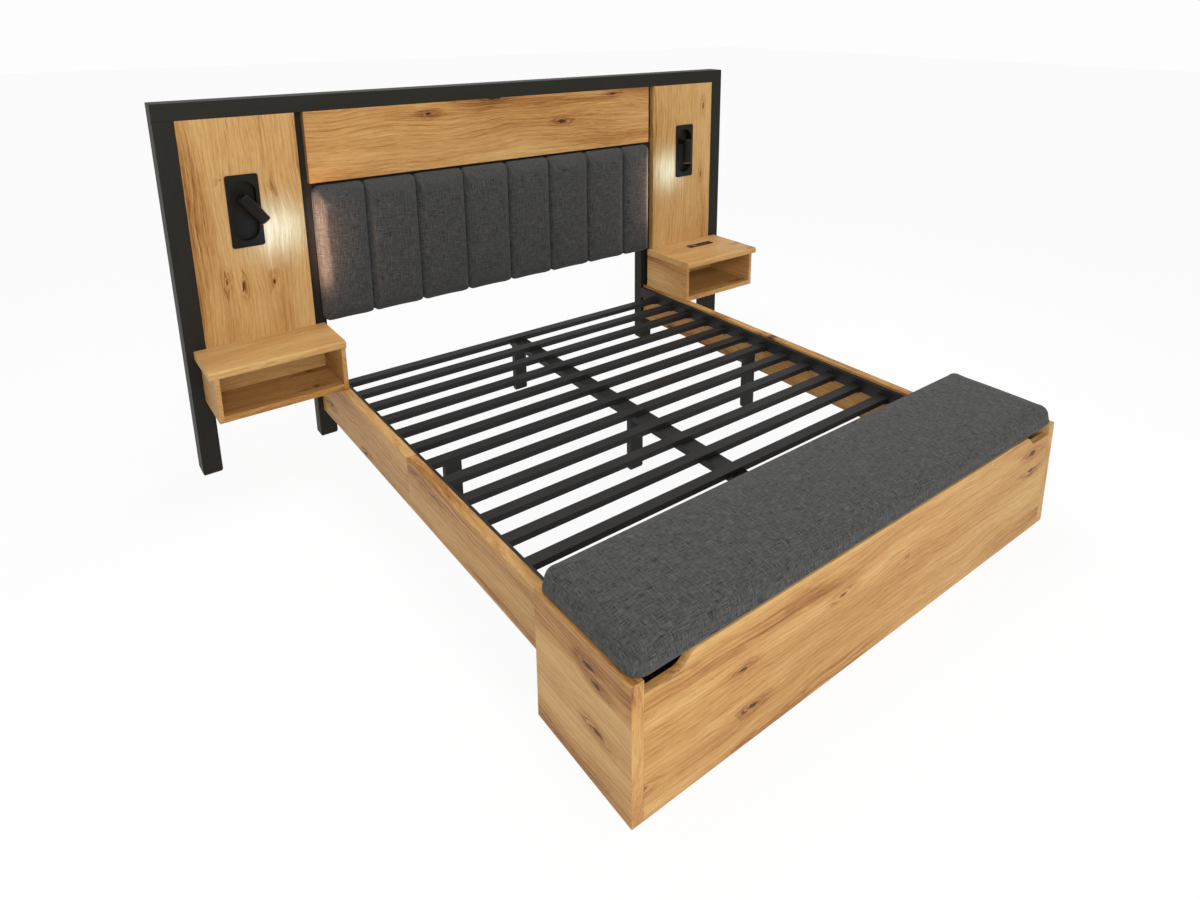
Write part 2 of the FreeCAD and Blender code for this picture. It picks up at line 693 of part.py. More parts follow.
# Steel deck: side tubes on the oak rails, slats in end brackets, a middle beam and legs
def steel_deck():
    count = int(size("slat_count"))
    for side in SIDES:
        rail = tube(f"{side}_deck_tube", "deck_rail_width", f"({RECESS} - {BENCH_BACK} - 2*deck_rail_end_gap)",
                    "deck_rail_height", "Y", sided(side, DECK_INNER, "deck_rail_width"),
                    f"{BENCH_BACK} + deck_rail_end_gap", f"{RAIL_TOP} - deck_rail_drop - deck_rail_height")
        keep(rail, f"{side}_deck_rail")
    slats = []
    brackets = []
    for number in range(count):
        low = f"({slat_y(number)} - slat_width/2)"
        slats.append(tube(f"slat_{number}", f"2*{SLAT_HALF}", "slat_width", "slat_height", "X",
                          f"-{SLAT_HALF}", low, SLAT_LOW))
        for side in SIDES:
            inner = f"({DECK_INNER} - bracket_reach)"
            shell = box(f"{side}_bracket_shell_{number}", "bracket_reach", "slat_width + 2*bracket_cheek",
                        "slat_height + bracket_floor", sided(side, inner, "bracket_reach"),
                        f"{low} - bracket_cheek", f"{SLAT_LOW} - bracket_floor")
            seat = "(bracket_reach - bracket_back)"
            pocket = box(f"{side}_bracket_seat_{number}", seat, "slat_width", "2*slat_height",
                         sided(side, inner, seat), low, SLAT_LOW)
            brackets.append(cut(f"{side}_bracket_{number}", shell, pocket))
    keep(group("slat_set", slats), "slats")
    keep(group("bracket_set", brackets), "slat_brackets")

    beam_start = f"({BENCH_BACK} + beam_end_gap)"
    beam_end = f"({slat_y(count - 1)} + slat_width/2)"
    keep(tube("beam_tube", "beam_width", f"({beam_end} - {beam_start})", "beam_height", "Y",
              "-beam_width/2", beam_start, BEAM_LOW), "centre_beam")
    rows = {"foot": 0, "middle": count//2, "head": count - 1}
    centre_legs = []
    glides = []

    def leg(name, x, y, top):
        low_x = f"{x} - leg_width/2"
        low_y = f"{y} - leg_depth/2"
        glides.append(box(name + "_glide", "leg_width - glide_margin", "leg_depth - glide_margin", "glide_height",
                          f"{low_x} + glide_margin/2", f"{low_y} + glide_margin/2", "0"))
        return tube(name, "leg_width", "leg_depth", f"({top} - glide_height)", "Z", low_x, low_y, "glide_height")

    for row, number in rows.items():
        y = f"({slat_y(number)} - middle_leg_shift)" if row == "middle" else slat_y(number)
        centre_legs.append(leg(f"centre_leg_{row}", "0", y, BEAM_LOW))
    side_leg_y = f"({slat_y(rows['middle'])} - (slat_width - leg_depth)/2)"
    side_legs = [leg(f"{side}_leg", f"{mirror_sign(side)}*({DECK_INNER} - side_leg_inset)", side_leg_y, SLAT_LOW)
                 for side in SIDES]
    keep(group("centre_leg_set", centre_legs), "centre_legs")
    keep(group("side_leg_set", side_legs), "side_legs")
    keep(group("leg_glide_set", glides), "leg_glides")


def notch(side):
    """Finger notch at one end of the front panel's top edge: a flat, then two arcs up to the edge."""
    low = "(bench_height - notch_depth)"
    radius = "((notch_depth*notch_depth + notch_ease*notch_ease)/(4*notch_depth))"
    flat_in = f"({BENCH_INNER} - notch_flat)"
    middle = f"({flat_in} - notch_ease/2)"
    thick = "(front_panel_thickness + 2*tube_wall)"
    y = f"({FOOT} - tube_wall)"
    tall = "(2*notch_depth)"
    sign = mirror_sign(side)
    flat = box(f"{side}_notch_flat", "notch_flat", thick, tall, sided(side, flat_in, "notch_flat"), y, low)
    near = box(f"{side}_notch_near", "notch_ease/2", thick, tall, sided(side, middle, "notch_ease/2"), y, low)
    hollow = cylinder(f"{side}_notch_hollow", radius, thick, "Y", f"{sign}*{flat_in}", y, f"{low} + {radius}")
    far_in = f"({middle} - notch_ease/2)"
    far = box(f"{side}_notch_far", "notch_ease/2", thick, tall, sided(side, far_in, "notch_ease/2"), y, low)
    swell = cylinder(f"{side}_notch_swell", radius, thick, "Y", f"{sign}*{far_in}", y, f"bench_height - {radius}")
    return [flat, common(f"{side}_notch_foot", near, hollow), cut(f"{side}_notch_shoulder", far, swell)]


# Foot bench: end panels to the floor, front and back between them, and a floor on cleats
def bench_box():
    for side in SIDES:
        keep(box(f"{side}_bench_board", "end_panel_thickness", "bench_depth", "bench_height",
                 sided(side, BENCH_INNER, "end_panel_thickness"), FOOT, "0"), f"{side}_bench_end")
    front = box("bench_front_board", f"2*{BENCH_INNER}", "front_panel_thickness", "bench_height",
                f"-{BENCH_INNER}", FOOT, "0")
    notches = fuse("notch_set", notch("left") + notch("right"))
    keep(cut("bench_notched_front", front, notches), "bench_front")
    back_y = f"({BENCH_BACK} - back_panel_thickness)"
    keep(box("bench_back_board", f"2*{BENCH_INNER}", "back_panel_thickness", "bench_height",
             f"-{BENCH_INNER}", back_y, "0"), "bench_back")
    inside = f"({FOOT} + front_panel_thickness)"
    keep(box("bench_floor_board", f"2*{BENCH_INNER}", f"{back_y} - {inside}", "floor_panel_thickness",
             f"-{BENCH_INNER}", inside, "floor_panel_rise"), "bench_floor")
    cleat_low = "floor_panel_rise - cleat_size"
    cleats = [box(f"bench_cleat_{number}", f"2*{BENCH_INNER}", "cleat_size", "cleat_size",
                  f"-{BENCH_INNER}", y, cleat_low)
              for number, y in enumerate((inside, f"{back_y} - cleat_size"))]
    keep(group("cleat_set", cleats), "bench_floor_cleats")


def rounded_rectangle(half_x, low_y, high_y, corner, height):
    """Level outline of the cushion: four lines and four quarter arcs."""
    slack = corner*(1 - math.cos(math.pi/4))
    corners = ((half_x, low_y, 1, -1), (half_x, high_y, 1, 1), (-half_x, high_y, -1, 1), (-half_x, low_y, -1, -1))
    turns = []
    for x, y, way_x, way_y in corners:
        on_x = FreeCAD.Vector(x, y - way_y*corner, height)
        on_y = FreeCAD.Vector(x - way_x*corner, y, height)
        middle = FreeCAD.Vector(x - way_x*slack, y - way_y*slack, height)
        first, last = (on_y, on_x) if way_x*way_y < 0 else (on_x, on_y)
        turns.append((first, middle, last))
    edges = []
    for number, turn in enumerate(turns):
        edges.append(Part.Arc(*turn).toShape())
        following = turns[(number + 1) % len(turns)]
        edges.append(Part.LineSegment(turn[2], following[0]).toShape())
    return Part.Wire(edges)


# Lid: a plywood board inside a padded cover with drawn-in sides, a round edge and a low crown
def bench_lid():
    round_over = size("cushion_round")
    edge = size("cushion_edge_height")
    crown = size("cushion_crown")
    deep = size("bench_depth") - size("cushion_front_gap") - size("cushion_back_gap")
    bay = size("mattress_width")/2 + size("mattress_side_gap") + size("deck_rail_width")
    half = bay + size("rail_thickness") + size("bench_overhang") - size("lid_ledge")
    straight = edge - round_over
    levels = [(0, size("cushion_draw_in")), (0.4*straight, 0), (straight, 0)]
    for turn in (30, 60, 90):
        angle = math.radians(turn)
        levels.append((straight + round_over*math.sin(angle), round_over*(1 - math.cos(angle))))
    levels.append((edge + 0.6*crown, 0.2*deep))
    levels.append((edge + crown, 0.38*deep))
    wires = []
    for height, inset in levels:
        corner = min(size("cushion_corner") + 0.3*inset, 0.4*(deep - 2*inset))
        wires.append(rounded_rectangle(half - inset, inset, deep - inset, corner, height))
    padding = doc.addObject("Part::Feature", "lid_padding")
    padding.Shape = Part.makeLoft(wires, True, True)
    place(padding, "0", f"{FOOT} + cushion_front_gap", LID_LOW)

    board_half = f"({CUSHION_HALF} - lid_board_margin)"
    board_low = f"({FOOT} + cushion_front_gap + lid_board_margin)"
    board_high = f"({BENCH_BACK} - cushion_back_gap - lid_board_margin)"

    def board(name):
        return box(name, f"2*{board_half}", f"{board_high} - {board_low}", "lid_board_thickness",
                   f"-{board_half}", board_low, LID_LOW)

    keep(cut("lid_cover", padding, board("lid_pocket")), "lid_cushion")
    keep(board("lid_panel"), "lid_board")


# Lid hinges: a leaf on the bench's back, a leaf on the lid's back edge and a pin through both
def lid_hinges():
    third = "(hinge_width/3)"
    radius = "hinge_barrel_radius"
    bore = "(hinge_pin_radius + running_clearance)"
    plate_height = f"(hinge_leaf_height - {radius} - 2*hinge_play)"
    fixed_leaves = []
    lid_leaves = []
    pins = []
    for place_number, middle in enumerate(("-hinge_reach", "0", "hinge_reach")):
        low = f"({middle} - hinge_width/2)"
        spans = {
            "fixed": [(low, f"({third} - hinge_play)"), (f"({low} + 2*{third} + hinge_play)", f"({third} - hinge_play)")],
            "lid": [(f"({low} + {third})", third)],
        }
        plate_lows = {"fixed": f"({HINGE_Z} - hinge_leaf_height)",
                      "lid": f"({HINGE_Z} + {radius} + 2*hinge_play)"}
        link_lows = {"fixed": f"({HINGE_Z} - hinge_leaf_height)", "lid": HINGE_Z}
        for kind, leaves in (("fixed", fixed_leaves), ("lid", lid_leaves)):
            name = f"{kind}_leaf_{place_number}"
            pieces = [box(name + "_plate", "hinge_width", "hinge_leaf_thickness", plate_height,
                          low, BENCH_BACK, plate_lows[kind])]
            for number, (start, length) in enumerate(spans[kind]):
                pieces.append(box(f"{name}_link_{number}", length, "hinge_leaf_thickness", "hinge_leaf_height",
                                  start, BENCH_BACK, link_lows[kind]))
                pieces.append(cylinder(f"{name}_barrel_{number}", radius, length, "X", start, HINGE_Y, HINGE_Z))
            hole = cylinder(name + "_hole", bore, "2*hinge_width", "X", f"{low} - hinge_width/2", HINGE_Y, HINGE_Z)
            leaves.append(cut(name, fuse(name + "_solid", pieces), hole))
        pins.append(cylinder(f"hinge_pin_{place_number}", "hinge_pin_radius", "hinge_width", "X",
                             low, HINGE_Y, HINGE_Z))
    keep(group("fixed_leaf_set", fixed_leaves), "hinge_fixed_leaves")
    keep(group("lid_leaf_set", lid_leaves), "hinge_lid_leaves")
    keep(group("hinge_pin_set", pins), "hinge_pins")


headboard_frame()
headboard_panels()
headboard_pad()
nightstands()
charging_strip()
for lamp_side in SIDES:
    lamp_plate(lamp_side)
    lamp_swivel(lamp_side)
    lamp_head(lamp_side)
side_rails()
steel_deck()
bench_box()
bench_lid()
lid_hinges()
doc.recompute()

# Every object has to have built before anything is written
for item in doc.Objects:
    if "Invalid" in item.State or "Error" in item.State:
        raise RuntimeError(f"{item.Name} did not build: {item.State}")
for node in nodes:
    if node.Shape.isNull() or not node.Shape.isValid() or not node.Shape.Solids:
        raise RuntimeError(f"{node.Label} is not a valid solid")
os.makedirs("parts", exist_ok=True)
for node in nodes:
    node.Shape.exportStep(f"parts/{node.Label}.step")
print(f"{len(nodes)} sub-parts written")
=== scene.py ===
# %% [markdown]
# A storage bed, dressed for the camera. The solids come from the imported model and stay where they
# are: boards, posts and steel get their finishes here, and the two padded pieces are made again as
# real upholstery. Everything is in metres, with the floor at z = 0 and the headboard towards +Y.

# %% Load the bed
import math

import bmesh
import bpy
from mathutils import Matrix, Vector


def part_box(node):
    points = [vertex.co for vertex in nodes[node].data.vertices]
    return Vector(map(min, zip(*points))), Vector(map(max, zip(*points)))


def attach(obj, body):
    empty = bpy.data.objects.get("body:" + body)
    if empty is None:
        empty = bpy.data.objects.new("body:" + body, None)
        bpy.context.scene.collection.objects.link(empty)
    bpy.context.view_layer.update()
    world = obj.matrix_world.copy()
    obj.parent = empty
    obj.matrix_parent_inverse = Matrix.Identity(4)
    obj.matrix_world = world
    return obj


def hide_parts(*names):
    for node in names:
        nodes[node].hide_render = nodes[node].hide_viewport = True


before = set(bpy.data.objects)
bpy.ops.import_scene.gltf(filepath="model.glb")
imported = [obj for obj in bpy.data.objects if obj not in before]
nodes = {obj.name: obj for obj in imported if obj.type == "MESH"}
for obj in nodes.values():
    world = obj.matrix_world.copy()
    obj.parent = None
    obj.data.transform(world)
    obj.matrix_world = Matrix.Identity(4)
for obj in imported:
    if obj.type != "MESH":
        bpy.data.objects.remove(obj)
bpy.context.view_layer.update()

scene = bpy.context.scene
bpy.ops.object.select_all(action="DESELECT")

# %% [markdown]
# The camera stands in front of the foot's left corner, a little above head height, and looks down on
# the bed. Its place and lens were solved from the bed's straight edges. The picture was cropped from
# a taller one, which is why the lens is shifted down.

# %% Camera
camera_data = bpy.data.cameras.new("camera")
camera_data.sensor_width = 36
camera_data.lens = 24.595
camera_data.shift_x = -0.0323
camera_data.shift_y = -0.1885
camera = bpy.data.objects.new("camera", camera_data)
scene.collection.objects.link(camera)
camera.location = (-2.0996, -2.6138, 2.0685)
camera.rotation_euler = [math.radians(turn) for turn in (75.1827, -0.1381, -38.3466)]
scene.camera = camera
print("camera lens", camera_data.lens, "mm")

# %% [markdown]
# Materials are written as sums. A small class wraps the output of one node, and adding or
# multiplying two of them adds the Math node that does it. Every other node comes from its one
# method, which takes the node's type, its settings, and what goes into its sockets.

# %% Shader arithmetic
class Signal:
    """The output of one shader node."""

    def __init__(self, socket):
        self.socket = socket

    def node(self, kind, settings, sockets, output=0):
        tree = self.socket.id_data
        made = tree.nodes.new("ShaderNode" + kind)
        for name, value in settings.items():
            if name == "stops":
                set_stops(made.color_ramp, value)
            else:
                setattr(made, name, value)
        for name, value in sockets.items():
            if isinstance(value, Signal):
                tree.links.new(value.socket, made.inputs[name])
            else:
                made.inputs[name].default_value = value
        return Signal(made.outputs[output])

    def math(self, operation, *values):
        return self.node("Math", {"operation": operation}, dict(enumerate(values)))

    def __add__(self, other):
        return self.math("ADD", self, other)

    def __radd__(self, other):
        return self.math("ADD", other, self)

    def __sub__(self, other):
        return self.math("SUBTRACT", self, other)

    def __rsub__(self, other):
        return self.math("SUBTRACT", other, self)

    def __mul__(self, other):
        return self.math("MULTIPLY", self, other)

    def __rmul__(self, other):
        return self.math("MULTIPLY", other, self)

    def __truediv__(self, other):
        return self.math("DIVIDE", self, other)

    def __rtruediv__(self, other):
        return self.math("DIVIDE", other, self)

    def sine(self):
        return self.math("SINE", self)

    def between(self, low, high):
        """0 below low, 1 above high, and an even rise from one to the other."""
        settings = {"interpolation_type": "SMOOTHSTEP"}
        return self.node("MapRange", settings, {"Value": self, "From Min": low, "From Max": high})

    def split(self):
        made = self.node("SeparateXYZ", {}, {0: self}).socket.node
        return [Signal(output) for output in made.outputs]

    def vector(self, *parts):
        return self.node("CombineXYZ", {}, dict(enumerate(parts)))

    def noise(self, detail=2.0, roughness=0.5):
        sockets = {"Vector": self, "Scale": 1.0, "Detail": detail, "Roughness": roughness}
        return self.node("TexNoise", {"noise_dimensions": "3D"}, sockets)

    def ramp(self, stops):
        return self.node("ValToRGB", {"stops": stops}, {0: self})

    def bump(self, distance, strength):
        return self.node("Bump", {}, {"Strength": strength, "Distance": distance, "Height": self})


def set_stops(ramp, stops):
    while len(ramp.elements) < len(stops):
        ramp.elements.new(1.0)
    for element, (position, colour) in zip(ramp.elements, stops):
        element.position = position
        element.color = (*colour, 1.0)


def new_finish(name, **constants):
    """A material with one Principled shader, and the Signal of its Object coordinates."""
    material = bpy.data.materials.new(name)
    material.use_nodes = True
    tree = material.node_tree
    tree.nodes.clear()
    output = tree.nodes.new("ShaderNodeOutputMaterial")
    shader = tree.nodes.new("ShaderNodeBsdfPrincipled")
    tree.links.new(shader.outputs[0], output.inputs[0])
    for socket, value in constants.items():
        shader.inputs[socket.replace("_", " ")].default_value = value
    place = Signal(tree.nodes.new("ShaderNodeTexCoord").outputs["Object"])
    return material, shader, place


def connect(shader, **signals):
    for socket, signal in signals.items():
        tree = shader.id_data
        tree.links.new(signal.socket, shader.inputs[socket.replace("_", " ")])


def paint(material, *names):
    for name in names:
        node = nodes[name]
        if node.material_slots:
            node.material_slots[0].material = material
        else:
            node.data.materials.append(material)


print("shader arithmetic ready")

# %% [markdown]
# The boards are knotty oak, oiled to a honey colour. Oak could be a ready picture, but a solid
# pattern in space runs on round each edge as real wood does. The grain is noise stretched along the
# board. A few cells of a Voronoi pattern hold a knot, and the grain lines are pushed aside round it.
# Broad tones, growth rings, brown streaks toward the board's two edges, fibres and pores are then
# added up, from coarse to fine, and short dark cracks gather round the knots and in the streaks.

# %% Oak
OAK_TONES = [
    (0.06, (0.045, 0.017, 0.006)),
    (0.26, (0.180, 0.066, 0.017)),
    (0.42, (0.330, 0.145, 0.040)),
    (0.58, (0.470, 0.250, 0.080)),
    (0.74, (0.575, 0.345, 0.132)),
    (0.92, (0.640, 0.425, 0.195)),
]
GRAIN_AXES = {"X": (0, 2, 1), "Y": (1, 2, 0), "Z": (2, 0, 1), "X flat": (0, 1, 2)}
KNOTS_ALONG, KNOTS_ACROSS = 2.5, 5.2
KNOT_REACH = 0.0012


def wood(name, grain, shift, level, span, streaks=1.0, knots=0.58, edge_at=None, tones=OAK_TONES):
    material, shader, place = new_finish(name, Specular_IOR_Level=0.14)
    parts = place.split()
    along, across, depth = [parts[axis] for axis in GRAIN_AXES[grain]]
    rim = (across - (span[0] + span[1]) / 2) / ((span[1] - span[0]) / 2)
    if edge_at is not None:
        edge = 1 - along.between(edge_at, edge_at + 0.0004)
        along, across = along + (across - along) * edge, across + (along - across) * edge
        level = level - edge * 0.05
    along = along + shift
    across = across + 0.37 * shift
    wander = place.vector(along * 0.9, across * 1.8, depth * 1.8).noise(3.0)
    cells = place.vector(along * KNOTS_ALONG, across * KNOTS_ACROSS, depth * 0.9 + shift)
    sockets = {"Vector": cells, "Scale": 1.0, "Randomness": 0.55}
    knot = cells.node("TexVoronoi", {"feature": "F1"}, sockets)
    centre = Signal(knot.socket.node.outputs["Position"]).split()
    chance = Signal(knot.socket.node.outputs["Color"]).split()
    off_along = along - centre[0] / KNOTS_ALONG
    off_across = across - centre[1] / KNOTS_ACROSS
    reach = off_along * off_along * 0.10 + off_across * off_across
    present = chance[0].between(knots, knots + 0.02)
    size = chance[1] * 0.00024 + 0.00005
    near = (1 - reach / KNOT_REACH).between(0.0, 1.0) * present
    swirl = off_across * size * 2.2 / (reach + size) * near
    line = across + (wander - 0.5) * 0.20 - swirl + depth * 0.4
    broad = place.vector(along * 0.8, line * 9, depth * 7).noise(3.0)
    rim = rim + (wander - 0.5) * 1.1
    outer = (rim * rim).between(0.06, 0.62)
    heart = place.vector(along * 0.7, line * 6, depth * 4).noise(2.0).between(0.42, 0.60)
    heart = heart * (0.25 + outer * 0.75) * streaks
    streak = place.vector(along * 2.3, line * 60, depth * 30).noise(4.0, 0.62)
    fine = place.vector(along * 11, line * 240, depth * 130).noise(3.0, 0.6)
    fibre = place.vector(along * 20, line * 760, depth * 520).noise(2.0, 0.6)
    pores = place.vector(along * 34, line * 1000, depth * 700).noise(1.0).between(0.60, 0.72)
    rings = (line * 330 + broad * 22 + fine * 2).sine().between(0.2, 1.0)
    scar = place.vector(along * 3.0, line * 22, depth * 9 + 5.0).noise(2.0).between(0.57, 0.66)
    crack = place.vector(along * 13, line * 290, depth * 90).noise(3.0, 0.7).between(0.53, 0.62)
    eye = (size * 0.4 / (reach + size * 0.4)).between(0.40, 0.90) * present
    dark = crack * near.math("MAXIMUM", near, scar * (0.20 + heart * 0.75))
    brown = heart * streak.between(0.32, 0.62) * 0.33
    tone = level + (broad - 0.5) * 0.42 + (streak - 0.5) * 0.36
    tone = tone + (fine - 0.5) * 0.46 + (fibre - 0.5) * 0.30
    tone = tone - brown - rings * 0.07 - near * 0.11 - pores * 0.11 - dark * 0.36 - eye * 0.36
    connect(shader, Base_Color=tone.ramp(tones), Roughness=0.50 - fibre * 0.12 + pores * 0.15)
    height = fibre * 0.6 - pores - dark * 0.8
    connect(shader, Normal=height.bump(0.0004, 0.35))
    return material


# Grain direction, place in the pattern, tone, and strength of the brown streaks. The tone is the
# board's own colour, except where a comment below says it also holds painted light or painted shade.
OAK_BOARDS = {
    "bench_front": ("X", 0.85, 0.68, 1.0), "bench_back": ("X", 3.40, 0.67, 1.0),
    "centre_panel": ("X", 6.20, 0.61, 1.1),
    "left_wing_panel": ("Z", 1.70, 0.70, 0.9), "right_wing_panel": ("Z", 5.10, 0.76, 0.9),
    "left_rail_foot": ("Y", 2.30, 0.68, 1.0), "left_rail_head": ("Y", 7.90, 0.68, 1.0),
    "right_rail_foot": ("Y", 4.40, 0.66, 1.0), "right_rail_head": ("Y", 9.60, 0.66, 1.0),
    "left_nightstand_top": ("X flat", 8.10, 0.73, 0.3),
    "right_nightstand_top": ("X flat", 2.60, 0.73, 0.3),
    # The nightstand floors' low tone is painted shade: the shadow of the top inside the cubby.
    "left_nightstand_floor": ("X flat", 5.70, 0.60, 0.2),
    "right_nightstand_floor": ("X flat", 9.10, 0.60, 0.2),
    # The nightstand backs' high tone is painted light: the front light falling into the cubby.
    "left_nightstand_back": ("X", 1.10, 0.86, 0.5), "right_nightstand_back": ("X", 3.90, 0.86, 0.5),
    "left_nightstand_inner_side": ("Y", 6.60, 0.69, 1.0),
    "right_nightstand_inner_side": ("Y", 0.40, 0.69, 1.0),
    "left_nightstand_outer_side": ("Y", 2.90, 0.69, 1.0),
    "right_nightstand_outer_side": ("Y", 7.20, 0.69, 1.0),
}
for board, (grain, shift, level, streaks) in OAK_BOARDS.items():
    low, high = [corner[GRAIN_AXES[grain][1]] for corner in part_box(board)]
    paint(wood("oak_" + board, grain, shift, level, (low, high), streaks), board)
# The bench ends' tone of 0.74 is paler than the bench front's 0.68. This is painted light on their end
# faces, which the lamps light less than the front.
for side, shift in (("left", 4.9), ("right", 8.7)):
    board = side + "_bench_end"
    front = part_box(board)[0][1]
    paint(wood("oak_" + board, "Y", shift, 0.74, (0, 0.45), edge_at=front + 0.0006), board)
print("oak on", len(OAK_BOARDS) + 2, "boards")

# %% [markdown]
# Hidden boards (under the cushion, behind the pad, the bench floor) are pale plywood: the same wood
# with fewer knots and paler tones.

# %% Plywood
PLY_TONES = [
    (0.20, (0.360, 0.230, 0.120)),
    (0.45, (0.500, 0.350, 0.200)),
    (0.70, (0.600, 0.440, 0.270)),
]
plywood = wood("plywood", "X", 0.3, 0.68, (0, 1), 0.4, 0.9, tones=PLY_TONES)
paint(plywood, "bench_floor", "bench_floor_cleats", "lid_board", "pad_board")
print("plywood on the hidden boards")

# %% [markdown]
# The headboard frame is lacquered black with the wood's grain just showing through, and the deck is
# steel with a fine powder coat. Both are near black, so almost all that is seen of them is the way
# they catch the light: a grain or a fine pebble in the bump, and a roughness that changes a little.

# %% Black finishes
def lacquer(name, grain):
    material, shader, place = new_finish(name, Specular_IOR_Level=0.14)
    along, across, depth = [place.split()[axis] for axis in GRAIN_AXES[grain]]
    fibre = place.vector(along * 9, across * 420, depth * 420).noise(3.0, 0.6)
    cloud = place.vector(along * 2, across * 9, depth * 9).noise(2.0)
    tone = fibre * 0.6 + cloud * 0.4
    tones = [(0.25, (0.011, 0.0098, 0.0072)), (0.75, (0.023, 0.0205, 0.015))]
    connect(shader, Base_Color=tone.ramp(tones))
    connect(shader, Roughness=fibre * 0.25 + 0.42, Normal=fibre.bump(0.0004, 0.3))
    return material


def pebbled(name, dark, light, grain_size, roughness, depth=0.0002, **constants):
    material, shader, place = new_finish(name, **constants)
    x, y, z = place.split()
    pebble = place.vector(x / grain_size, y / grain_size, z / grain_size).noise(2.0)
    cloud = place.vector(x * 6, y * 6, z * 6).noise(2.0)
    tone = cloud * 0.7 + pebble * 0.3
    connect(shader, Base_Color=tone.ramp([(0.3, dark), (0.7, light)]))
    connect(shader, Roughness=pebble * 0.16 + (roughness - 0.08), Normal=pebble.bump(depth, 0.4))
    return material


POSTS = ("left_outer_post", "left_inner_post", "right_inner_post", "right_outer_post")
CROSS_RAILS = ("top_rail", "upper_cross_rail", "lower_cross_rail")
paint(lacquer("black_lacquer_upright", "Z"), *POSTS)
paint(lacquer("black_lacquer_level", "X"), *CROSS_RAILS)
paint(pebbled("black_powder_coat", (0.009, 0.009, 0.009), (0.017, 0.017, 0.0165), 0.0011, 0.50,
              Specular_IOR_Level=0.20),
      "slats", "slat_brackets", "centre_beam", "centre_legs", "side_legs", "left_deck_rail",
      "right_deck_rail", "rail_end_plates")
lamp_black = pebbled("lamp_black", (0.0058, 0.0044, 0.0023), (0.0096, 0.0072, 0.0040), 0.0006, 0.42,
                     Specular_IOR_Level=0.16)
paint(lamp_black, *[f"{side}_lamp_{piece}" for side in ("left", "right")
                    for piece in ("plate", "swivel", "head")])
paint(pebbled("black_plastic", (0.010, 0.010, 0.010), (0.018, 0.018, 0.018), 0.0008, 0.45,
              Specular_IOR_Level=0.35),
      "leg_glides", "post_glides", "charging_strip")
paint(pebbled("grey_plastic", (0.10, 0.10, 0.105), (0.15, 0.15, 0.155), 0.0008, 0.45),
      "charging_sockets")
print("black finishes done")

# %% [markdown]
# The hinges and lamp pins are zinc-plated steel, and the lamp lenses are frosted and lit warm.

# %% Zinc and lenses
def zinc(name):
    material, shader, place = new_finish(name, Metallic=1.0)
    x, y, z = place.split()
    brushed = place.vector(x * 40, y * 1500, z * 1500).noise(2.0)
    spangle = place.vector(x * 160, y * 160, z * 160).noise(2.0)
    tone = brushed * 0.4 + spangle * 0.6
    connect(shader, Base_Color=tone.ramp([(0.3, (0.42, 0.42, 0.43)), (0.7, (0.62, 0.62, 0.63))]))
    connect(shader, Roughness=brushed * 0.2 + 0.25, Normal=brushed.bump(0.0001, 0.2))
    return material


def lit_lens(name):
    material, shader, place = new_finish(name, Emission_Strength=3.0, Roughness=0.4)
    x, y, z = place.split()
    frost = place.vector(x * 900, y * 900, z * 900).noise(2.0)
    connect(shader, Base_Color=frost.ramp([(0.3, (0.90, 0.78, 0.58)), (0.7, (1.0, 0.90, 0.70))]))
    connect(shader, Emission_Color=frost.ramp([(0.3, (1.0, 0.62, 0.30)), (0.7, (1.0, 0.74, 0.42))]))
    return material


def ember_rim(name):
    material, shader, place = new_finish(name, Emission_Strength=1.0, Roughness=0.5)
    x, y, z = place.split()
    cloud = place.vector(x * 70, y * 70, z * 70).noise(2.0)
    metal_tones = [(0.3, (0.030, 0.008, 0.004)), (0.7, (0.060, 0.014, 0.006))]
    glow_tones = [(0.3, (0.15, 0.012, 0.002)), (0.7, (0.26, 0.030, 0.005))]
    connect(shader, Base_Color=cloud.ramp(metal_tones), Emission_Color=cloud.ramp(glow_tones))
    return material


bright_zinc = zinc("zinc_plate")
paint(bright_zinc, "hinge_fixed_leaves", "hinge_lid_leaves", "hinge_pins",
      "left_lamp_pin", "right_lamp_pin")
paint(lit_lens("frosted_lens"), "left_lamp_lens", "right_lamp_lens")
print("zinc and lenses done")

# %% [markdown]
# Sawn boards and steel tubes never have knife edges. Weld joins the loose triangles of a solid, and
# Bevel then takes off a millimetre or two along each sharp edge, which catches a thin line of light.

# %% Broken edges
def break_edges(width, *names):
    for name in names:
        weld = nodes[name].modifiers.new("weld", "WELD")
        weld.merge_threshold = 0.00002
        bevel = nodes[name].modifiers.new("bevel", "BEVEL")
        bevel.width = width
        bevel.segments = 2
        bevel.limit_method = "ANGLE"
        bevel.angle_limit = math.radians(50)


break_edges(0.0010, *OAK_BOARDS, "left_bench_end", "right_bench_end")
break_edges(0.0015, *POSTS, *CROSS_RAILS)
print("edges broken")

# %% [markdown]
# Upholstery cloth is woven from uneven yarn: thick and thin stretches (slubs) show as short pale and
# dark dashes that cross at right angles. Each padded mesh carries an attribute with its own two
# thread directions, in metres, so the weave turns over the edges as the cloth does.

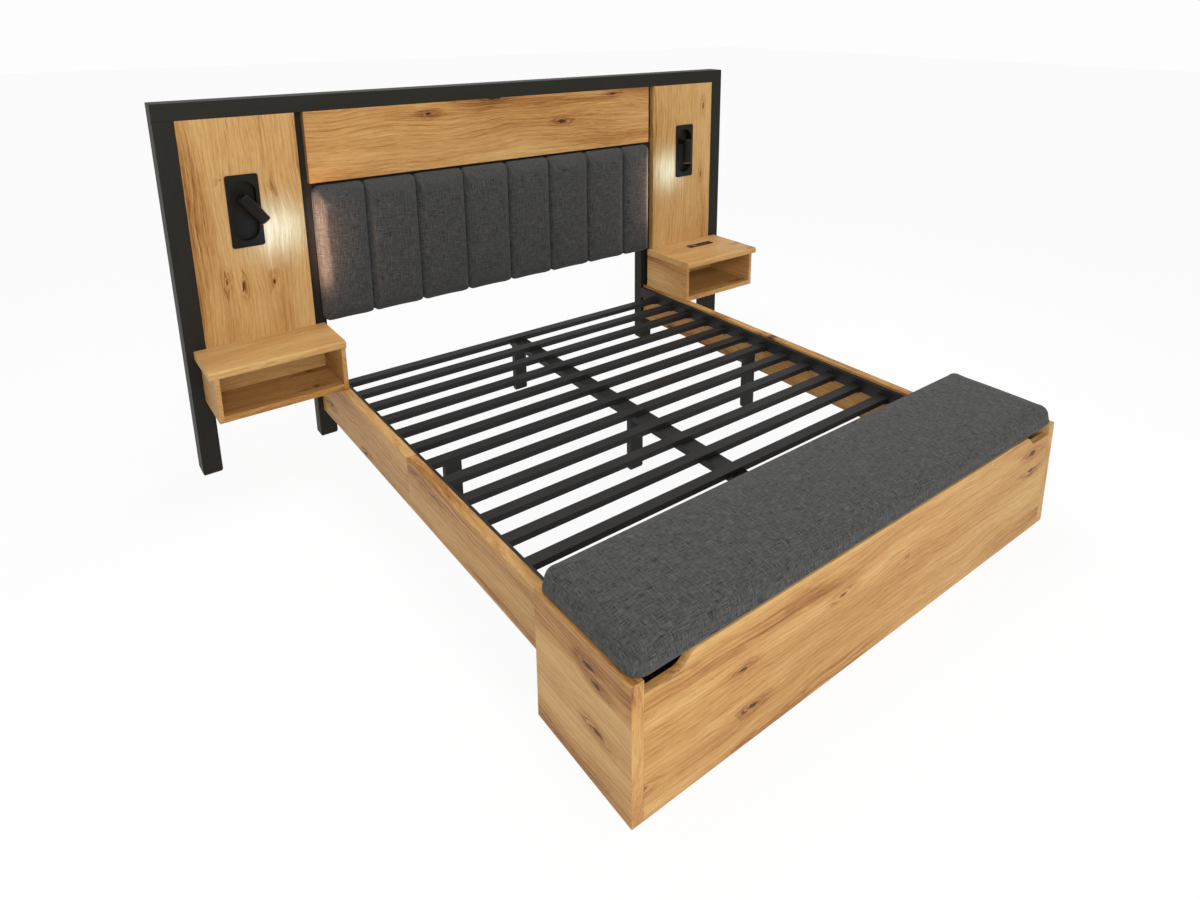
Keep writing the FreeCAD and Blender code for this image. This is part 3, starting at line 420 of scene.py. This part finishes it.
# %% Woven cloth
def woven(name, dark, light, slub, fineness, pitch=0.0017):
    material, shader, place = new_finish(name, Specular_IOR_Level=0.15, Sheen_Weight=0.10,
                                         Sheen_Roughness=0.5)
    thread = place.node("Attribute", {"attribute_name": "thread"}, {}, 1)
    u, v, _ = thread.split()

    def yarn(run, across, layer):
        fine = place.vector(run * (34 * fineness), across * (430 * fineness), layer).noise(2.0, 0.6)
        thick = place.vector(run * (16 * fineness), across * (200 * fineness), layer + 4.0)
        return fine * 0.45 + thick.noise(2.0, 0.6) * 0.55

    weft = yarn(u, v, 0.0)
    warp = yarn(v, u, 7.0)
    pale = weft.between(0.53, 0.64) + warp.between(0.53, 0.64)
    deep = weft.between(0.47, 0.36) + warp.between(0.47, 0.36)
    knit = (u * (math.pi / pitch)).sine() * (v * (math.pi / pitch)).sine()
    cloud = place.vector(u * 9, v * 9, 3.0).noise(2.0)
    tone = 0.42 + (pale * 0.24 - deep * 0.20) * slub + knit * 0.06 + (cloud - 0.5) * 0.10
    connect(shader, Base_Color=tone.ramp([(0.0, dark), (1.0, light)]))
    connect(shader, Roughness=0.95 - pale * 0.06)
    connect(shader, Normal=(knit * 0.5 + (weft + warp) * 1.2).bump(0.0007, 0.6))
    return material


pad_cloth = woven("pad_linen", (0.006, 0.006, 0.0058), (0.110, 0.110, 0.106), 1.5, 1.1)
bench_cloth = woven("bench_slub_weave", (0.004, 0.004, 0.004), (0.130, 0.130, 0.126), 1.8, 1.45)


def thread_lines(piece, across):
    """Store each point's two thread coordinates, worked out by across(co, normal)."""
    mesh = piece.data
    layer = mesh.attributes.new("thread", "FLOAT_VECTOR", "POINT")
    values = []
    for vertex in mesh.vertices:
        values.extend(across(vertex.co, vertex.normal))
    layer.data.foreach_set("vector", values)


print("cloth ready")

# %% [markdown]
# The headboard pad is one board wrapped in eight upright channels. It rounds over at its top and its
# two ends, less at the bottom, and thin seams are drawn into it. It could be left as a swept shape,
# but cloth pulled over foam swells most where it is furthest from its seams, so a channel is built as
# a fine grid, held along its seams, and blown up a little by a cloth simulation. One middle channel
# is made and copied, and the first and the last, which round over at the pad's ends, are made alike.

# %% Pad channels
PAD_LOW, PAD_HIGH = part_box("headboard_pad")
FIRST_SEAM, LAST_SEAM, CHANNELS = -0.755, 0.788, 8
pad_tall = PAD_HIGH[2] - PAD_LOW[2]
pad_back = PAD_HIGH[1]
pad_deep = PAD_HIGH[1] - PAD_LOW[1]


def spread(count):
    """Steps from -1 to 1, closer together at both ends."""
    return [math.sin(math.pi * (step / count - 0.5)) * 0.75 + 0.25 * (2 * step / count - 1)
            for step in range(count + 1)]


def fall(distance, radius):
    """How far a round edge drops at a distance from its rim: its radius there, nothing further in."""
    missing = max(0.0, 1 - distance / radius)
    return radius * (1 - math.sqrt(1 - missing**2))


HALF_SEAM = 0.0016
SWELL_ROOM, CROWN, SEWN_EDGE = 0.009, 0.005, 0.008
UPPER_CORNER, LOWER_CORNER, SEAM_NOTCH = 0.040, 0.022, 0.026
END_ROUND, SEAM_ROUND = 0.042, 0.016
TOP_ROUND, BOTTOM_ROUND = 0.060, 0.022


def channel_mesh(width, round_left=False, round_right=False, columns=44, rows=88):
    half_x = width / 2 - HALF_SEAM
    half_z = pad_tall / 2
    front = pad_deep - SWELL_ROOM
    sides = [(-1, round_left), (1, round_right)]
    shape = bmesh.new()
    grid = []
    for t in spread(rows):
        row = []
        for s in spread(columns):
            x = s * half_x
            corner = UPPER_CORNER if t > 0 else LOWER_CORNER
            inward = [(half_x - sign * x, is_round) for sign, is_round in sides]
            notch = max(fall(gap, corner) if is_round else 0.5 * fall(gap, SEAM_NOTCH)
                        for gap, is_round in inward)
            tuck = max(fall(gap, END_ROUND) if is_round else 1.15 * fall(gap, SEAM_ROUND)
                       for gap, is_round in inward)
            z = t * (half_z - notch)
            turn = max(0.74 * fall(half_z - notch - z, TOP_ROUND),
                       fall(half_z - notch + z, BOTTOM_ROUND))
            drop = min(math.hypot(tuck, turn), front - SEWN_EDGE)
            swell = CROWN * (1 - s**4) * (1 - t**6)
            row.append(shape.verts.new((x, drop - front - swell, z)))
        grid.append(row)
    for low, high in zip(grid, grid[1:]):
        for first in range(columns):
            shape.faces.new((low[first], low[first + 1], high[first + 1], high[first]))
    rim = [edge for edge in shape.edges if edge.is_boundary]
    wall = bmesh.ops.extrude_edge_only(shape, edges=rim)
    for vertex in [item for item in wall["geom"] if isinstance(item, bmesh.types.BMVert)]:
        vertex.co.y = 0.0
    bmesh.ops.contextual_create(shape, geom=[edge for edge in shape.edges if edge.is_boundary])
    bmesh.ops.recalc_face_normals(shape, faces=shape.faces)
    mesh = bpy.data.meshes.new("pad_channel")
    shape.to_mesh(mesh)
    shape.free()
    return mesh


def add_channel(name, width, **rounds):
    piece = bpy.data.objects.new(name, channel_mesh(width, **rounds))
    scene.collection.objects.link(piece)
    return piece


channel_width = (LAST_SEAM - FIRST_SEAM) / (CHANNELS - 2)
channels = {
    "first_channel": add_channel("first_channel", FIRST_SEAM - PAD_LOW[0], round_left=True),
    "middle_channel": add_channel("middle_channel", channel_width),
    "last_channel": add_channel("last_channel", PAD_HIGH[0] - LAST_SEAM, round_right=True),
}
print("a channel has", len(channels["middle_channel"].data.vertices), "points")

# %% [markdown]
# The same simulation serves both padded pieces. The points that are sewn or stapled are pinned, the
# rest swells under pressure with gravity off, and no point may end further from where it began than
# the cap or past the half width, so that the piece keeps the room that its solid has and no channel
# swells through its neighbour's seam.

# %% Cloth simulation
def select_only(piece):
    bpy.ops.object.select_all(action="DESELECT")
    piece.select_set(True)
    bpy.context.view_layer.objects.active = piece


def inflate(piece, pinned, pressure, cap, half_width, frames=20):
    start = [vertex.co.copy() for vertex in piece.data.vertices]
    group = piece.vertex_groups.new(name="sewn")
    group.add([vertex.index for vertex in piece.data.vertices if pinned(vertex.co)], 1.0, "ADD")
    cloth = piece.modifiers.new("cloth", "CLOTH")
    cloth.settings.vertex_group_mass = "sewn"
    cloth.settings.use_pressure = True
    cloth.settings.uniform_pressure_force = pressure
    cloth.settings.tension_stiffness = 12
    cloth.settings.compression_stiffness = 12
    cloth.settings.bending_stiffness = 1.5
    cloth.settings.effector_weights.gravity = 0
    cloth.point_cache.frame_end = frames
    for number in range(1, frames + 1):
        scene.frame_set(number)
    select_only(piece)
    bpy.ops.object.modifier_apply(modifier="cloth")
    furthest = 0.0
    for vertex, origin in zip(piece.data.vertices, start):
        move = vertex.co - origin
        if move.length > cap:
            vertex.co = origin + move * (cap / move.length)
        vertex.co.x = max(-half_width, min(half_width, vertex.co.x))
        furthest = max(furthest, (vertex.co - origin).length)
    piece.vertex_groups.clear()
    scene.frame_set(1)
    print(piece.name, "swelled by up to", round(furthest * 1000, 1), "mm")


PRESSURE = 3.0
SEWN_DEPTH, PAD_SWELL = 0.016, 0.004
for piece in channels.values():
    reach = max(abs(vertex.co.x) for vertex in piece.data.vertices)
    inflate(piece, lambda co: co.y > -SEWN_DEPTH or abs(co.x) > reach - 0.001,
            PRESSURE, PAD_SWELL, reach)

# %% Eight channels in one pad
def copy_mesh(piece, name, place):
    twin = bpy.data.objects.new(name, piece.data.copy())
    twin.data.transform(place)
    scene.collection.objects.link(twin)
    return twin


pad_middle = (PAD_LOW[2] + PAD_HIGH[2]) / 2
inner_seams = [FIRST_SEAM + number * channel_width for number in range(CHANNELS - 1)]
seams = [PAD_LOW[0], *inner_seams, PAD_HIGH[0]]
kinds = ["first_channel"] + ["middle_channel"] * (CHANNELS - 2) + ["last_channel"]
bpy.ops.object.select_all(action="DESELECT")
for number, (kind, start, end) in enumerate(zip(kinds, seams, seams[1:])):
    place = Matrix.Translation(((start + end) / 2, pad_back, pad_middle))
    twin = copy_mesh(channels[kind], f"channel_{number}", place)
    twin.select_set(True)
    bpy.context.view_layer.objects.active = twin
bpy.ops.object.join()
pad = bpy.context.view_layer.objects.active
pad.name = "channelled_pad"
for piece in channels.values():
    bpy.data.objects.remove(piece)
bpy.ops.object.shade_smooth()
thread_lines(pad, lambda co, normal: (co.x, co.z - 0.8 * abs(normal.z) * co.y, 0.0))
pad.data.materials.append(pad_cloth)
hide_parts("headboard_pad")
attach(pad, "bed")
print("pad has", len(pad.data.polygons), "faces")

# %% [markdown]
# The bench lid's cushion is one long foam block under stretched cloth, stapled below. It starts as a
# cube at the cushion's size, its corners and upper edges are rounded with Bevel, and a voxel remesh
# gives it even cloth to swell. The cloth is held where it turns under, and its underside is lifted
# into the lid's board, so that the open lid shows the board.

# %% Bench cushion
SEAT_LOW, SEAT_HIGH = [Vector(corner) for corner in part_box("lid_cushion")]
bpy.ops.object.select_all(action="DESELECT")
bpy.ops.mesh.primitive_cube_add(size=1)
cushion = bpy.context.object
cushion.name = "bench_cushion"
seat_size = SEAT_HIGH - SEAT_LOW
GROWTH = Vector((0.019, 0.001, -0.002))
CORNER_RADIUS, TOP_RADIUS, CLOTH_GRID = 0.046, 0.042, 0.008
cushion.data.transform(Matrix.Diagonal((*(seat_size + GROWTH), 1)))
middle = (SEAT_LOW + SEAT_HIGH) / 2 + Vector((0, 0, GROWTH.z / 2))
cushion.data.transform(Matrix.Translation(middle))
bpy.ops.object.mode_set(mode="EDIT")
bpy.ops.mesh.select_mode(type="EDGE")
bpy.ops.mesh.select_all(action="DESELECT")
edit = bmesh.from_edit_mesh(cushion.data)
for edge in edit.edges:
    ends = [vertex.co for vertex in edge.verts]
    edge.select_set(abs(ends[0].z - ends[1].z) > 0.01)
bmesh.update_edit_mesh(cushion.data)
bpy.ops.mesh.bevel(offset=CORNER_RADIUS, segments=7)
bpy.ops.mesh.select_all(action="DESELECT")
edit = bmesh.from_edit_mesh(cushion.data)
top = max(vertex.co.z for vertex in edit.verts)
for edge in edit.edges:
    edge.select_set(all(vertex.co.z > top - 0.001 for vertex in edge.verts))
bmesh.update_edit_mesh(cushion.data)
bpy.ops.mesh.bevel(offset=TOP_RADIUS, segments=7)
bpy.ops.object.mode_set(mode="OBJECT")
remesh = cushion.modifiers.new("remesh", "REMESH")
remesh.mode = "VOXEL"
remesh.voxel_size = CLOTH_GRID
bpy.ops.object.modifier_apply(modifier="remesh")
print("cushion has", len(cushion.data.vertices), "points")

# %% Swell and dress the cushion
STAPLED_EDGE, CUSHION_SWELL, END_OVERHANG = 0.012, 0.006, 0.010
inflate(cushion, lambda co: co.z < SEAT_LOW.z + STAPLED_EDGE,
        PRESSURE, CUSHION_SWELL, SEAT_HIGH.x + END_OVERHANG)
smooth = cushion.modifiers.new("smooth", "SMOOTH")
smooth.iterations = 3
select_only(cushion)
bpy.ops.object.modifier_apply(modifier="smooth")
bpy.ops.object.shade_smooth()
board_low, board_high = [Vector(corner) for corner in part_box("lid_board")]
BOARD_MARGIN, UNDERSIDE, INTO_BOARD = 0.002, 0.009, 0.006
limits = [(board_low[axis] - BOARD_MARGIN, board_high[axis] + BOARD_MARGIN) for axis in (0, 1)]
for vertex in cushion.data.vertices:
    over_board = all(low < place < high for (low, high), place in zip(limits, vertex.co))
    if over_board and vertex.co.z < board_low.z + UNDERSIDE:
        vertex.co.z = board_low.z + INTO_BOARD


def over_the_edges(co, normal):
    drop = SEAT_HIGH.z - co.z
    flat = abs(normal.x) + abs(normal.y) + 0.001
    u = co.x + math.copysign(drop, co.x) * abs(normal.x) / flat
    v = co.y + math.copysign(drop, normal.y) * abs(normal.y) / flat
    return u, v, 0.0


thread_lines(cushion, over_the_edges)
cushion.data.materials.append(bench_cloth)
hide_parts("lid_cushion")
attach(cushion, "lid")
print("cushion spans", [round(v, 3) for v in cushion.dimensions])

# %% [markdown]
# Small fittings are modelled once and copied: a screw head is a short cylinder with a recess inset
# and pushed into its top, and the lines of screws follow the hinge leaves, nine on the bench and nine
# on the lid. The sockets' slots and tongues are thin bevelled blocks on the strip's plates. The rim of
# each lamp's mouth glows, and is a cylinder whose two ends are inset and bridged into a ring.

# %% Hinge screws
def start_edit(piece):
    select_only(piece)
    bpy.ops.object.mode_set(mode="EDIT")
    bpy.ops.mesh.select_all(action="DESELECT")


def select_top(piece):
    edit = bmesh.from_edit_mesh(piece.data)
    top = max(vertex.co.z for vertex in edit.verts)
    for face in edit.faces:
        face.select_set(all(vertex.co.z > top - 1e-6 for vertex in face.verts))
    bmesh.update_edit_mesh(piece.data)


def join_pieces(pieces, name):
    bpy.ops.object.select_all(action="DESELECT")
    for piece in pieces:
        piece.select_set(True)
    bpy.context.view_layer.objects.active = pieces[0]
    bpy.ops.object.join()
    pieces[0].name = name
    bpy.ops.object.shade_smooth_by_angle(angle=math.radians(40))
    return pieces[0]


bpy.ops.object.select_all(action="DESELECT")
bpy.ops.mesh.primitive_cylinder_add(vertices=16, radius=0.0036, depth=0.0014)
screw = bpy.context.object
start_edit(screw)
select_top(screw)
bpy.ops.mesh.bevel(offset=0.0004, segments=1)
select_top(screw)
bpy.ops.mesh.inset(thickness=0.0013)
bpy.ops.mesh.extrude_region_move(TRANSFORM_OT_translate={"value": (0, 0, -0.0005)})
bpy.ops.object.mode_set(mode="OBJECT")
LEAF_FACE = -0.845
HINGES = (-0.76, 0.0, 0.76)
SCREW_INSET, SCREW_STEP = 0.0145, 0.023
facing_back = Matrix.Rotation(math.radians(-90), 4, "X")
for leaf, body in (("fixed", "bed"), ("lid", "lid")):
    low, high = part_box(f"hinge_{leaf}_leaves")
    height = low[2] + SCREW_INSET if leaf == "fixed" else high[2] - SCREW_INSET
    places = [(hinge + step, LEAF_FACE, height)
              for hinge in HINGES for step in (-SCREW_STEP, 0.0, SCREW_STEP)]
    heads = [copy_mesh(screw, f"screw_{number}", Matrix.Translation(place) @ facing_back)
             for number, place in enumerate(places)]
    row = join_pieces(heads, f"{leaf}_leaf_screws")
    row.data.materials.append(bright_zinc)
    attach(row, body)
bpy.data.objects.remove(screw)
print("hinge screws: 18")

# %% Socket slots
def thin_block(name, centre, size, bevel):
    bpy.ops.object.select_all(action="DESELECT")
    bpy.ops.mesh.primitive_cube_add(size=1)
    piece = bpy.context.object
    piece.name = name
    piece.data.transform(Matrix.Translation(centre) @ Matrix.Diagonal((*size, 1)))
    start_edit(piece)
    select_top(piece)
    bpy.ops.mesh.bevel(offset=bevel, segments=2)
    bpy.ops.object.mode_set(mode="OBJECT")
    return piece


socket_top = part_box("charging_sockets")[1][2]
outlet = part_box("charging_sockets")[0][0] + 0.017
last_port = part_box("charging_sockets")[1][0] - 0.0035
strip_y = (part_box("charging_strip")[0][1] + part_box("charging_strip")[1][1]) / 2
OUTLET_SLOTS = [
    (-0.0063, 0.003, (0.0022, 0.008, 0.0004)),
    (0.0063, 0.003, (0.0022, 0.0065, 0.0004)),
    (0.0, -0.0085, (0.0046, 0.0046, 0.0004)),
]
PORT_STEP = 0.024
slots = [thin_block(f"slot_{number}", (outlet + x, strip_y + y, socket_top), size, 0.0001)
         for number, (x, y, size) in enumerate(OUTLET_SLOTS)]
slots = join_pieces(slots, "outlet_slots")
slots.data.materials.append(lamp_black)
tongues = [thin_block(f"tongue_{number}", (last_port - PORT_STEP * number, strip_y, socket_top),
                      (0.0018, 0.0105, 0.0006), 0.0002) for number in range(3)]
tongues = join_pieces(tongues, "port_tongues")
tongues.data.materials.append(bright_zinc)
for piece in (slots, tongues):
    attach(piece, "bed")
print("outlet slots and port tongues on the charging strip")

# %% Lamp rims
bpy.ops.object.select_all(action="DESELECT")
bpy.ops.mesh.primitive_cylinder_add(vertices=40, radius=0.0254, depth=0.0042)
rim = bpy.context.object
start_edit(rim)
edit = bmesh.from_edit_mesh(rim.data)
for face in edit.faces:
    face.select_set(abs(face.normal.z) > 0.9)
bmesh.update_edit_mesh(rim.data)
bpy.ops.mesh.inset(thickness=0.0037)
bpy.ops.mesh.bridge_edge_loops()
bpy.ops.object.mode_set(mode="OBJECT")
ember = ember_rim("ember_rim")
LAMP_PIVOT = (1.285, 1.169, 1.250)
MOUTH = 0.1233
for side, sign in (("left", -1), ("right", 1)):
    pivot = Vector((sign * LAMP_PIVOT[0], *LAMP_PIVOT[1:]))
    low, high = [Vector(corner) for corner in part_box(f"{side}_lamp_lens")]
    axis = ((low + high) / 2 - pivot).normalized()
    turn = axis.to_track_quat("Z", "Y").to_matrix().to_4x4()
    place = Matrix.Translation(pivot + axis * MOUTH) @ turn
    ring = join_pieces([copy_mesh(rim, f"{side}_rim", place)], f"{side}_lamp_rim")
    ring.data.materials.append(ember)
    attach(ring, f"{side}_lamp_shade")
bpy.data.objects.remove(rim)
print("a glowing rim on each lamp")

# %% [markdown]
# The studio: a white floor that reads as the background, even light from all round, and two large
# soft lamps, one in front and one overhead. The floor shows itself to the camera as mostly plain
# white, and the rest of it is ordinary paint, which keeps a soft shadow under the bed.

# %% Floor and world
bpy.ops.object.select_all(action="DESELECT")
bpy.ops.mesh.primitive_plane_add(size=60, location=(0, 0, -0.0005))
floor = bpy.context.object
floor.name = "studio_floor"
floor_paint = bpy.data.materials.new("studio_white")
floor_paint.use_nodes = True
tree = floor_paint.node_tree
tree.nodes.clear()
rays = Signal(tree.nodes.new("ShaderNodeLightPath").outputs["Is Camera Ray"])
light_path = rays.socket.node
seen = rays.math("MAXIMUM", rays, Signal(light_path.outputs["Is Glossy Ray"]))
seen = seen.math("MAXIMUM", seen, Signal(light_path.outputs["Is Transmission Ray"]))
diffuse = seen.node("BsdfDiffuse", {}, {"Color": (0.92, 0.92, 0.92, 1)})
glow = seen.node("Emission", {}, {"Color": (1, 1, 1, 1), "Strength": 1.0})
mixed = seen.node("MixShader", {}, {0: seen * 0.92, 1: diffuse, 2: glow})
output = tree.nodes.new("ShaderNodeOutputMaterial")
tree.links.new(mixed.socket, output.inputs[0])
floor.data.materials.append(floor_paint)

world = bpy.data.worlds.new("studio")
scene.world = world
world.use_nodes = True
tree = world.node_tree
tree.nodes.clear()
light_path = tree.nodes.new("ShaderNodeLightPath")
seen = Signal(light_path.outputs["Is Camera Ray"])
seen = seen.math("MAXIMUM", seen, Signal(light_path.outputs["Is Glossy Ray"]) * 0.6)
seen = seen.math("MAXIMUM", seen, Signal(light_path.outputs["Is Transmission Ray"]))
sky = seen.node("Background", {}, {"Color": (1, 1, 1, 1), "Strength": seen * 0.435 + 0.55})
output = tree.nodes.new("ShaderNodeOutputWorld")
tree.links.new(sky.socket, output.inputs[0])
scene.view_settings.view_transform = "Standard"
print("floor and world ready")

# %% Lamps of the studio
def add_light(name, kind, location, target, watts, **settings):
    data = bpy.data.lights.new(name, kind)
    data.energy = watts
    for setting, value in settings.items():
        setattr(data, setting, value)
    lamp = bpy.data.objects.new(name, data)
    lamp.location = location
    lamp.rotation_euler = (Vector(target) - Vector(location)).to_track_quat("-Z", "Y").to_euler()
    scene.collection.objects.link(lamp)
    return lamp


add_light("key_lamp", "AREA", (-1.9, -5.0, 3.3), (0.0, 0, 0.5), 195, shape="DISK", size=4.0)
add_light("top_lamp", "AREA", (0.2, 1.1, 3.7), (0.2, 1.1, 0), 70, shape="DISK", size=3.0)
print("studio lamps lit")

# %% [markdown]
# Both reading lamps are on. Each throws a pale pool on the oak beside it and a warm light on the end
# of the pad. One lamp could do both, but the black pad needs far more light than the oak, so a spot
# faces the oak and a narrow panel of light, which shines to one side only, faces the pad. The spot is
# bluish, because white light on oak makes an orange pool. It rides on the lamp's head and turns with
# it. The panel of light stays with the bed: turned with the lamp, it would throw a hard patch on the
# oak.

# %% Reading light
def reading_light(name, kind, body, location, target, watts, **settings):
    lamp = add_light(name, kind, location, target, watts, **settings)
    lamp.visible_camera = False
    lamp.visible_glossy = False
    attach(lamp, body)


POOL_BLUE, PAD_WARM = (0.17, 0.41, 1.0), (1.0, 0.60, 0.40)
POOL_X, POOL_Z, POOL_WATTS = 1.155, 1.09, 6.0
for side, sign, watts in (("left", -1, 1.95), ("right", 1, 1.3)):
    reading_light(f"{side}_oak_pool", "SPOT", f"{side}_lamp_shade",
                  (sign * POOL_X, 1.02, POOL_Z), (sign * POOL_X, 1.205, POOL_Z), POOL_WATTS,
                  color=POOL_BLUE, spot_size=math.radians(102), spot_blend=1.0, shadow_soft_size=0.04)
    reading_light(f"{side}_pad_light", "AREA", "bed",
                  (sign * 1.034, 1.142, 1.01), (sign * 0.950, 1.142, 1.01), watts, color=PAD_WARM,
                  shape="RECTANGLE", size=0.04, size_y=0.42)
print("reading lights on")
